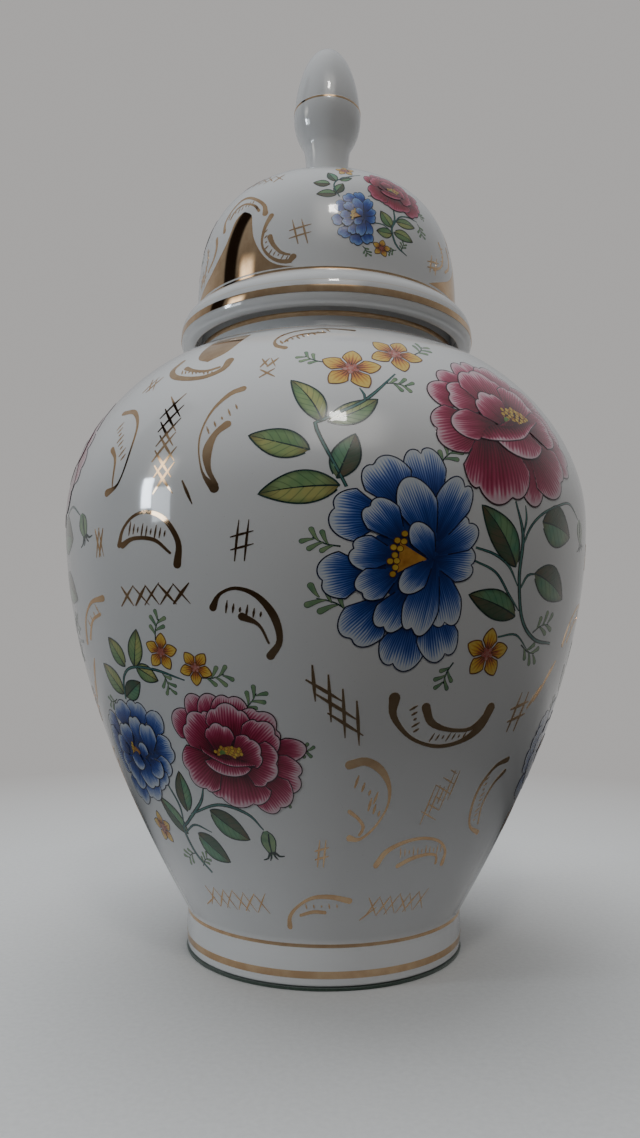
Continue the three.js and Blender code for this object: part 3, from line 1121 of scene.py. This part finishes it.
smallFoliage = {
    "line": 0.5,
    "leaves": [
        ((-44, 140.4), (-48.2, 152.4), 8, 0.0), ((-40.9, 140.4), (-38.3, 155.4), 8, 0.0),
        ((-46.9, 128.8), (-53.1, 141.4), 9, 0.0), ((-40.4, 140.4), (-34.7, 134.8), -7, 0.0),
        ((-46.4, 127.4), (-40.2, 134), 8, 0.0), ((-36.2, 78.4), (-35, 96.8), 9, 0.0),
        ((-38.8, 67.4), (-45.8, 83.4), 9, 0.0), ((-28.7, 80.4), (-19, 68.4), 11, 0.03),
        ((-35, 68.4), (-26.6, 56.4), 11, 0.03),
    ],
    "stems": [
        (1.1, [(-46.9, 126.4), (-45.6, 135.4), (-42, 140), (-35.2, 139.4), (-27.9, 135.4)]),
        (1.4, [(-34.7, 49.4), (-38.8, 58.4), (-39.9, 69.4), (-37.3, 73.4), (-31, 83.4), (-28.9, 90.4)]),
        (1.0, [(-40.4, 90.4), (-38.5, 80.4), (-39.4, 70.4)]),
        (1.2, [(-35.2, 77.4), (-25.8, 83.4), (-18.5, 80.4), (-14.9, 73.4)]),
        (0.9, [(-39.4, 68), (-35, 72.5), (-30, 70)]),
    ],
    "sprigs": [
        (-33.5, 151, 20, 11), (-24, 136.5, 80, 12), (-33.5, 139, 160, 10), (-38.8, 58, -115, 11),
        (-37.5, 52, 50, 9), (-16.5, 124, 45, 12), (-7, 108, 90, 9), (-11, 90, 120, 8),
        (-51, 126, -100, 9),
    ],
    "buds": [(-14.6, 73, 168, 13)],
    "stars": [(-32.6, 146.4, 7.5, 10), (-25, 140.4, 7, 40), (-50.3, 67.4, 8, 0)],
}
lidFoliage = {
    "line": 0.34,
    "leaves": [
        ((26.8, 22.5), (22.4, 30), 5.2, 0.0), ((27, 19.5), (20, 19.5), -5, -0.05),
        ((29.2, 26), (39, 26.3), 5, -0.04), ((27.6, 20.5), (37, 18.3), -5.2, -0.06),
        ((1.4, 43), (-6, 44), 4.6, 0.0), ((4, 36.5), (-4.4, 36.5), 4.6, 0.05),
        ((4, 45), (0.5, 52.5), 4.6, 0.0), ((3.5, 37), (7, 43.5), -4.4, 0.0),
        ((5.5, 46), (11.5, 48.5), 3.2, 0.0),
    ],
    "stems": [
        (0.8, [(28.7, 32), (28.6, 27), (26.8, 22), (27.5, 17), (29.3, 13.5), (33.6, 10.7)]),
        (0.6, [(5.2, 35), (3, 41), (4.3, 45.5), (10, 49.5), (16.3, 52.5)]),
        (0.6, [(27.3, 23), (31, 29), (36, 30.8), (41, 30.2)]),
        (0.5, [(19, 23), (23, 23), (26.5, 20.5)]),
    ],
    "sprigs": [(14, 11, 150, 5), (28.5, 12, -120, 5), (31, 12, 20, 5), (17.5, 37, 50, 5),
               (41, 29.5, 160, 7), (43, 37.5, 130, 5)],
    "buds": [],
    "stars": [(9, 55.7, 5, 0), (21.9, 11.3, 4, 10)],
}
layFoliage("foliage", largeFoliage, jarSkin, "jar")
layFoliage("smallFoliage", smallFoliage, jarSkin, "jar")
layFoliage("lidFoliage", lidFoliage, lidSkin, "lid")
print("leaves and stems painted")


# hand gilding

brush = {"layer": 0.004, "layers": 7, "startShare": 0.45, "endShare": 0.3}


def middles(count):
    return [(i + 0.5) / count for i in range(count)]


class Gilder:
    # lays gold strokes on one sheet, each a hair above the last so that crossings stay clean
    def __init__(self, skin):
        self.skin = skin
        self.sheet = newSheet()
        self.count = 0

    def lift(self):
        self.count += 1
        return film["gold"] + brush["layer"] * (self.count % brush["layers"])

    def line(self, path):
        ribbon(self.sheet, [around(self.skin, place) for place in path], self.lift(), knobs=True)

    def spots(self, start, end, shares):
        # flat points at the given shares of the way between two places
        (ax, ay), (bx, by) = around(self.skin, start), around(self.skin, end)
        return [(ax + (bx - ax) * t, ay + (by - ay) * t) for t in shares]

    def dash(self, start, end, width):
        self.stroke(*around(self.skin, start), *around(self.skin, end), width)

    def stroke(self, ax, ay, bx, by, width):
        # a brush stroke between two flat points, full in the middle and fine at the ends
        mid = ((ax + bx) / 2, (ay + by) / 2, width)
        ribbon(self.sheet, [(ax, ay, width * brush["startShare"]), mid,
                            (bx, by, width * brush["endShare"])], self.lift())

    def ticks(self, start, end, count, lean, width=0.9):
        shares = [i / max(count - 1, 1) for i in range(count)]
        for i, (x, y) in enumerate(self.spots(start, end, shares)):
            size = 0.75 + 0.35 * math.sin(i * 2.1 + 1)
            self.stroke(x - lean[0] * size / 2, y - lean[1] * size / 2,
                        x + lean[0] * size / 2, y + lean[1] * size / 2, width)

    def crosses(self, start, end, height, count, width, spread=1.0):
        # a row of brushed crosses
        pitch = math.dist(around(self.skin, start), around(self.skin, end)) / count
        half = pitch * 0.56 * spread
        for i, (x, y) in enumerate(self.spots(start, end, middles(count))):
            sway = pitch * 0.14 * math.sin(i * 2.7 + count)
            top = y + height * (0.5 + 0.06 * math.sin(i * 4))
            self.stroke(x - half + sway, y - height / 2, x + half, top,
                        width * (1.1 + 0.3 * math.sin(i * 1.9)))
            self.stroke(x - half * 0.9, y + height * 0.48, x + half + sway, y - height * 0.5,
                        width * (0.9 + 0.25 * math.cos(i * 2.2)))

    def hash(self, centre, width, height, lean=0.12, line=0.9):
        x, y = around(self.skin, centre)
        for side in (-0.22, 0.2):
            self.stroke(x + side * width - lean * height / 2, y - height / 2,
                        x + side * width + lean * height / 2, y + height / 2, line)
        for rise in (-0.17, 0.14):
            self.stroke(x - width / 2, y + rise * height - 0.1 * width,
                        x + width / 2, y + rise * height + 0.16 * width, line)

    def lattice(self, low, high, width, rows, line):
        # a column of crossing strokes
        step = math.dist(around(self.skin, low), around(self.skin, high)) / rows
        for i, (x, y) in enumerate(self.spots(low, high, middles(rows))):
            sway = width * 0.08 * math.sin(i * 2.3)
            self.stroke(x - width / 2 + sway, y - step * 0.85, x + width / 2 + sway, y + step * 0.95, line)
            self.stroke(x - width / 2 - sway, y + step * 0.9, x + width / 2 - sway, y - step * 0.95, line)

    def patch(self, left, right, rows, columns):
        # a solid area between a left and a right edge
        edges = []
        for path in (left, right):
            line = flowing([around(self.skin, place) for place in path], 0.8)
            edges.append(evenly(line, 0.8))

        def shape(u, t):
            (ax, ay), (bx, by) = (pickAlong(edge, t) for edge in edges)
            return ax + (bx - ax) * (u + 1) / 2, ay + (by - ay) * (u + 1) / 2

        flatGrid(self.sheet, columns, rows, shape, self.lift())


def gildJar():
    g = Gilder(jarSkin)
    # scrolls left of the large bouquet
    g.line([(-46.9, 247.4, 2.4), (-42, 245.4, 2.2), (-38.8, 236.4, 1.2), (-39.1, 222.4, 0.9),
            (-41, 213, 1.0), (-44.3, 210.2, 3.2)])
    g.line([(-45.1, 229, 2.4), (-43, 223.4, 1.4), (-42.7, 212.4, 0.7)])
    g.ticks((-45.3, 240), (-40.6, 224), 8, (3.0, 3.4))
    g.lattice((-29.3, 209), (-30.6, 247), 8.5, 6, 1.1)
    g.line([(-15.9, 248.4, 2.8), (-18.4, 246, 2.2), (-21.3, 238, 1.0), (-22.6, 226.4, 0.7),
            (-21.4, 213.4, 0.8), (-19, 206.8, 3.4)])
    g.line([(-17.6, 231.8, 3.2), (-19.6, 228, 2.4), (-20.7, 221.4, 3.6), (-20.2, 214, 2.0),
            (-18.6, 208, 1.4)])
    g.ticks((-21.2, 230), (-16.4, 239.5), 5, (-1.4, 3.2), 0.8)
    g.dash((-25.3, 210.8), (-23.2, 201.5), 1.2)
    # arch and marks over the small bouquet
    g.line([(-40.6, 188.6, 2.2), (-39.4, 194.4, 1.3), (-36.6, 199, 1.2), (-33, 200.2, 1.4),
            (-29, 196.8, 1.9), (-26.2, 188, 2.2), (-26.6, 179.6, 3.2)])
    g.line([(-39.6, 188.4, 2.6), (-36.5, 190.6, 1.6), (-31.5, 189.4, 1.5), (-28, 184, 1.0)])
    g.ticks((-37.4, 194.6), (-29, 191.4), 9, (1.2, 5.2), 0.8)
    g.hash((-14.1, 187.4), 8, 15)
    g.crosses((-41, 168.6), (-24.6, 168.8), 8, 5, 1.0)
    g.line([(-20, 163.2, 2.8), (-18.6, 168, 1.3), (-15.5, 170.2, 1.3), (-11.8, 167.4, 2.0),
            (-8.9, 160, 2.8), (-8, 151, 2.2), (-9.8, 145.2, 3.0)])
    g.line([(-14.6, 159.8, 3.0), (-11.6, 156.6, 1.2), (-10, 150, 0.8)])
    g.ticks((-17.4, 163.5), (-11.2, 160.6), 6, (0.8, 4.6), 0.9)
    for ax, ay, bx, by in ((-4.4, 142, -3.4, 128), (1.2, 138.4, 2.4, 120), (6.4, 133, 7.8, 113.6),
                           (11.6, 128.4, 13.4, 110.6), (-6.8, 136.4, 6.6, 128), (-3.4, 131, 12.2, 120.8),
                           (1, 123.6, 14.8, 114.6)):
        g.stroke(ax, ay, bx, by, 1.35)
    # scrolls below the large bouquet
    g.line([(13.3, 129.4, 4.4), (13.5, 122, 2.6), (17.5, 113.6, 1.5), (23.5, 109.6, 1.5),
            (29.6, 111, 2.0), (34, 116.4, 4.0), (35.9, 124.4, 4.6)])
    g.line([(20, 125.6, 3.6), (21.6, 119.6, 3.0), (25.5, 116.4, 1.8), (30.5, 115.8, 1.6),
            (33.2, 118.0, 2.4), (35.2, 122.4, 2.4)])
    g.ticks((22.4, 113.2), (31.6, 113.4), 8, (1.8, 3.4), 0.8)
    g.ticks((17.4, 125.4), (18.6, 116.4), 5, (3.0, 1.8), 1.0)
    g.hash((45.6, 122), 12, 17, 0.2, 1.3)
    for side, rise in ((52.6, 132), (55.4, 139.5), (50.6, 129)):
        g.dash((side - 1.8, rise - 6), (side + 2.2, rise + 4), 2.0)
    g.line([(5.2, 102.6, 3.6), (8.6, 104, 3.4), (12, 100.4, 3.2), (14.4, 93, 1.8),
            (14.6, 84.4, 1.0), (12.2, 75.4, 1.1), (8.8, 70, 1.4), (6.2, 70.6, 3.0)])
    g.line([(5.8, 82.6, 1.8), (8.0, 79.4, 1.4), (9.4, 75.4, 1.6), (8.6, 72, 1.2)])
    g.ticks((7.0, 95.6), (11.6, 88.4), 4, (1.4, 5.2), 1.2)
    g.ticks((10.4, 85.6), (12.8, 81.4), 3, (1.0, 5.6), 1.3)
    g.ticks((25, 84), (31, 92), 5, (3.4, 17), 0.7)
    g.ticks((26, 79), (30, 98), 6, (9, -4.5), 0.6)
    g.line([(47.7, 100.8, 2.8), (43.4, 98.4, 1.8), (40, 90.4, 1.6), (39.4, 80.4, 1.4),
            (41.4, 71.4, 1.3), (46.6, 66.8, 2.4)])
    g.line([(48.2, 95.4, 2.2), (44.8, 89.6, 1.4), (43.4, 80.4, 1.1), (44.8, 71.6, 1.0)])
    g.ticks((41.6, 93), (42.4, 74), 9, (2.6, 1.8), 0.7)
    g.line([(14.1, 57.4, 3.2), (16.2, 63.4, 2.6), (20.6, 67.4, 1.8), (26, 68.6, 1.4),
            (31.4, 66.4, 1.3), (35.0, 61, 1.5), (35.6, 54.6, 2.8)])
    g.line([(20.4, 56.2, 2.2), (24.2, 59.2, 2.0), (28.8, 60.4, 1.4), (32.2, 59.2, 1.2), (33.0, 55.4, 1.6)])
    g.ticks((20.4, 62.6), (33.2, 62.4), 11, (-1.0, 4.8), 0.7)
    # foot rim scrolls
    g.hash((-0.6, 63.4), 7, 13, 0.1, 1.0)
    g.line([(-11.4, 26.2, 3.4), (-10.9, 31.4, 2.2), (-8, 37, 1.5), (-3.4, 41.6, 1.8),
            (2, 42.2, 2.4), (7.8, 40, 3.0)])
    g.line([(-7.4, 32.4, 1.5), (-3.4, 34.4, 1.8), (0.4, 34.2, 1.8)])
    g.ticks((-5.4, 37.2), (4, 37.6), 5, (-0.6, 2.6), 1.0)
    g.crosses((-40.6, 36.4), (-18, 37), 10, 6, 0.8)
    g.dash((-44, 30.4), (-38, 36), 0.9)
    g.crosses((13.6, 36.4), (33.8, 37), 10, 6, 0.8)
    g.dash((11.6, 29.6), (16.6, 36), 0.9)
    # left and upper scrolls
    g.line([(-60.4, 150.4, 2.4), (-58, 160.4, 1.3), (-53.4, 167, 1.5), (-47.9, 168.4, 2.8)])
    g.line([(-57.4, 152, 1.8), (-54.2, 159.4, 1.4), (-50, 162, 1.6)])
    g.ticks((-56.2, 158.4), (-51, 164.4), 4, (-2.6, 3.6), 0.8)
    g.patch([(-32.6, 293), (-33.2, 283), (-31.6, 273.4), (-27.8, 269.2)],
            [(-21.6, 293), (-22.4, 285), (-24, 275), (-27.6, 269.2)], 16, 12)
    g.line([(-37.2, 275, 2.6), (-38, 269, 3.0), (-35.6, 263.2, 2.8), (-31, 259.4, 2.6),
            (-26, 258.2, 2.4), (-22.2, 261.8, 3.0), (-21.6, 267.4, 4.0)])
    g.line([(-33.4, 267.6, 2.4), (-30.2, 264.2, 1.8), (-26.4, 262.2, 1.6), (-23.4, 263.4, 1.6)])
    g.ticks((-33.6, 264.8), (-24.6, 260.6), 9, (-1.6, 3.2), 0.9)
    g.line([(-9.4, 273.6, 2.6), (-11.6, 275.8, 2.2), (-12.6, 281, 1.2), (-11.2, 287, 1.4),
            (-7.6, 291.6, 1.4), (-2.4, 293.8, 1.6), (2.4, 293.8, 1.8), (7.6, 292.4, 2.4)])
    g.line([(-10, 279, 1.2), (-8.8, 283.4, 1.2), (-5.4, 287, 1.5), (-0.4, 288.4, 1.6)])
    g.ticks((-10.8, 279), (0.4, 291.4), 10, (-2.0, 3.2), 1.3)
    g.crosses((-14, 263.2), (-10, 263.2), 6, 2, 0.9, 0.8)
    g.crosses((-13.6, 256.4), (-10.4, 256.4), 5, 1, 0.9, 0.9)
    g.crosses((-48.6, 191), (-45.8, 191), 12, 2, 0.9, 1.1)
    g.crosses((-44, 262), (-40, 261), 9, 2, 0.9, 1.1)
    layMotif("jarGilding", [(g.sheet, gold)], jarSkin, "jar")


def gildLid():
    g = Gilder(lidSkin)
    g.patch([(-74, 2), (-65, 6), (-57, 10), (-50.5, 15.5),
             (-46, 21), (-43.6, 27), (-42, 31.5), (-38.6, 34.2)],
            [(-12.6, 1.4), (-18, 2.6), (-22.4, 5), (-26.6, 10),
             (-30.4, 18), (-31.8, 25), (-33, 31), (-37.2, 34.2)], 24, 40)
    g.line([(-49, 28.5, 2.0), (-50, 34, 1.4), (-47.5, 39.5, 1.3), (-43, 43.5, 1.6),
            (-37.5, 43, 1.5), (-31, 38.5, 1.5), (-27, 34, 1.8), (-26, 29.5, 2.8)])
    g.line([(-46.4, 34, 1.0), (-43.8, 38.4, 1.1), (-38.6, 39.4, 1.1), (-32.4, 36, 1.1), (-29.4, 32, 1.4)])
    g.ticks((-47.6, 36), (-31.6, 38.8), 9, (0.6, 3.0), 0.7)
    g.line([(-54.8, 27.4, 2.0), (-53.6, 22.4, 1.8), (-55.4, 17, 1.4), (-60, 13, 1.2)])
    g.line([(-64, 26, 1.4), (-61.6, 20, 1.0), (-64, 14, 1.0), (-70, 10, 1.4)])
    g.ticks((-62, 24), (-63, 15), 5, (2.6, 1.0), 0.7)
    g.line([(-23, 27.5, 2.4), (-25.5, 22, 1.6), (-26.5, 14.5, 1.0), (-24, 9, 1.2),
            (-19.5, 5, 1.6), (-14.5, 4, 2.2), (-13, 6, 2.6)])
    g.line([(-23, 17, 2.4), (-21.5, 13, 1.8), (-18, 8.5, 1.4), (-14.5, 7, 0.9)])
    g.ticks((-25, 20), (-24.4, 12), 4, (1.8, 1.6), 0.7)
    g.ticks((-22.6, 9.6), (-15.6, 5.6), 5, (1.4, 2.4), 0.6)
    g.hash((-10.5, 17.5), 9, 12, -0.22, 0.8)
    g.hash((49.7, 12), 9, 9, 0.2, 0.9)
    g.crosses((-61, 63.5), (-22, 52), 6, 8, 0.9, 0.9)
    layMotif("lidGilding", [(g.sheet, gold)], lidSkin, "lid")


gildJar()
gildLid()
print("gilding done")


# floor, light and camera

stageLook = {
    "floorRadius": 4.0, "cloth": (0.74, 0.745, 0.74), "wall": (0.46, 0.447, 0.437),
    "near": (0.56, 0.56, 0.56), "bounce": [(0.10, 0.0), (0.145, 0.45), (0.21, 0.94), (0.8, 0.98)],
    "fade": [(0.26, 0.0), (0.62, 1.0)], "weave": 420, "dimThreads": 0.92,
    "depth": [(0.0, (0.014, 0.012, 0.010)), (0.20, (0.020, 0.017, 0.014)), (0.40, (0.042, 0.037, 0.032)),
              (0.58, (0.12, 0.116, 0.11)), (0.76, (0.31, 0.305, 0.30)), (1.0, (0.38, 0.375, 0.37))],
    "height": [(0.12, 0.0), (0.42, 0.34), (0.78, 0.75), (1.0, 1.0)], "ceiling": (0.37, 0.385, 0.405),
    # a dark doorway and a bright pane on the left, and the glow of the ceiling over the front
    "panels": [
        {"reach": ((-1.0, -0.62), (-0.08, 0.16), (0.15, 0.80)), "soft": 0.025,
         "colour": (0.010, 0.008, 0.007)},
        {"reach": ((-0.95, -0.62), (-0.36, -0.17), (0.24, 0.44)), "soft": 0.05, "colour": (2.6, 2.5, 2.3)},
        {"reach": ((-0.14, 0.34), (-0.90, -0.46), (0.56, 0.84)), "soft": 0.10, "colour": (1.6, 1.57, 1.5)},
    ],
}


def makeFloor():
    finish, tree, shader = newFinish("paleFloor", 0.85)
    grain = speckle(tree, stageLook["weave"], 4, 0.6)
    pale = stageLook["cloth"]
    dim = tuple(c * stageLook["dimThreads"] for c in pale)
    colour = ramped(tree, grain, [(0.3, dim), (0.7, pale)])
    # it fades into the wall far off, and sends light back only from near the jar
    away = wire(tree, "VectorMath", {0: wire(tree, "TexCoord").outputs["Object"]},
                operation="LENGTH").outputs["Value"]
    sent = blended(tree, ramped(tree, away, stageLook["bounce"]), stageLook["near"], (0.0, 0.0, 0.0))
    seen = wire(tree, "LightPath").outputs["Is Camera Ray"]
    colourWith(tree, shader, blended(tree, seen, sent, colour))
    backdrop = wire(tree, "Emission", {"Color": (*stageLook["wall"], 1)})
    clear = wire(tree, "BsdfTransparent")
    beyond = wire(tree, "MixShader", {0: seen, 1: clear.outputs[0], 2: backdrop.outputs[0]})
    both = wire(tree, "MixShader", {0: ramped(tree, away, stageLook["fade"]), 1: shader.outputs[0],
                                    2: beyond.outputs[0]})
    tree.links.new(both.outputs[0], tree.nodes["Material Output"].inputs["Surface"])
    ground = bmesh.new()
    bmesh.ops.create_circle(ground, cap_ends=True, cap_tris=False, segments=96,
                            radius=stageLook["floorRadius"])
    mesh = bpy.data.meshes.new("floor")
    ground.to_mesh(mesh)
    ground.free()
    mesh.materials.append(finish)
    floor = bpy.data.objects.new("floor", mesh)
    bpy.context.scene.collection.objects.link(floor)


def makeRoom():
    # a pale room with a bright ceiling, darker behind the camera, for glaze and gold to mirror
    world = bpy.data.worlds.new("paleRoom")
    bpy.context.scene.world = world
    world.use_nodes = True
    tree = world.node_tree
    split = wire(tree, "SeparateXYZ", {0: wire(tree, "TexCoord").outputs["Generated"]})
    depth = scaled(tree, split.outputs["Y"], 0.5, 0.5)
    walls = ramped(tree, depth, stageLook["depth"])
    height = ramped(tree, split.outputs["Z"], stageLook["height"])
    glow = blended(tree, height, walls, stageLook["ceiling"])
    for panel in stageLook["panels"]:
        inside = None
        for axis, (low, high) in zip("XYZ", panel["reach"]):
            edges = []
            for place, before, after in ((low, 0.0, 1.0), (high, 1.0, 0.0)):
                ends = {1: place - panel["soft"], 2: place + panel["soft"], 3: before, 4: after}
                edges.append(wire(tree, "MapRange", {0: split.outputs[axis], **ends},
                                  interpolation_type="SMOOTHSTEP").outputs[0])
            both = times(tree, *edges)
            inside = times(tree, inside, both) if inside else both
        glow = blended(tree, inside, glow, panel["colour"])
    seen = wire(tree, "LightPath").outputs["Is Camera Ray"]
    shown = blended(tree, seen, glow, stageLook["wall"])
    tree.links.new(shown, tree.nodes["Background"].inputs["Color"])
    tree.nodes["Background"].inputs["Strength"].default_value = 1.0


lamps = {
    "aim": (0, 0, 0.2),
    "window": {"towards": (-0.95, -0.24, 0.19), "away": 2.2, "size": (0.20, 0.38), "watts": 6.5,
               "colour": (0.80, 0.90, 1.0), "mirrored": True},
    "windowSide": {"towards": (-0.90, -0.36, 0.12), "away": 2.2, "size": (0.34, 0.34), "watts": 2.0,
                   "colour": (0.84, 0.92, 1.0), "mirrored": True},
    "ceilingLamp": {"towards": (0.07, -0.62, 0.78), "away": 1.9, "size": (0.18, 0.20), "watts": 3.0,
                    "colour": (1.0, 0.97, 0.92), "mirrored": True},
    "softSky": {"towards": (-0.12, 0.12, 0.98), "away": 2.3, "size": (1.9, 1.9), "watts": 37,
                "colour": (0.95, 0.975, 1.0), "mirrored": False},
}


def addLamp(name):
    look = lamps[name]
    light = bpy.data.lights.new(name, "AREA")
    light.shape = "RECTANGLE"
    light.size, light.size_y = look["size"]
    light.energy = look["watts"]
    light.color = look["colour"]
    lamp = bpy.data.objects.new(name, light)
    bpy.context.scene.collection.objects.link(lamp)
    towards = Vector(look["towards"]).normalized()
    lamp.location = Vector(lamps["aim"]) + towards * look["away"]
    lamp.rotation_euler = towards.to_track_quat("Z", "Y").to_euler()
    lamp.visible_glossy = look["mirrored"]


viewpoint = {"place": (0, -0.425, 0.1376), "pitch": 5.46, "yaw": -0.36, "roll": 0.29,
             "lens": 26.98, "sensor": 36, "nearest": 0.01}


def makeCamera():
    pitch, yaw, roll = (math.radians(viewpoint[key]) for key in ("pitch", "yaw", "roll"))
    ahead = Vector((math.sin(yaw) * math.cos(pitch), math.cos(yaw) * math.cos(pitch), math.sin(pitch)))
    right = Vector((math.cos(yaw), -math.sin(yaw), 0))
    up = right.cross(ahead)
    level = right * math.cos(roll) + up * math.sin(roll)
    upright = up * math.cos(roll) - right * math.sin(roll)
    lens = bpy.data.cameras.new("camera")
    lens.lens = viewpoint["lens"]
    lens.sensor_width = viewpoint["sensor"]
    lens.clip_start = viewpoint["nearest"]
    camera = bpy.data.objects.new("camera", lens)
    bpy.context.scene.collection.objects.link(camera)
    camera.matrix_world = Matrix.Translation(viewpoint["place"]) @ Matrix(
        (level, upright, -ahead)).transposed().to_4x4()
    bpy.context.scene.camera = camera


makeFloor()
makeRoom()
for lampName in ("window", "windowSide", "ceilingLamp", "softSky"):
    addLamp(lampName)
makeCamera()
print("light and camera set")
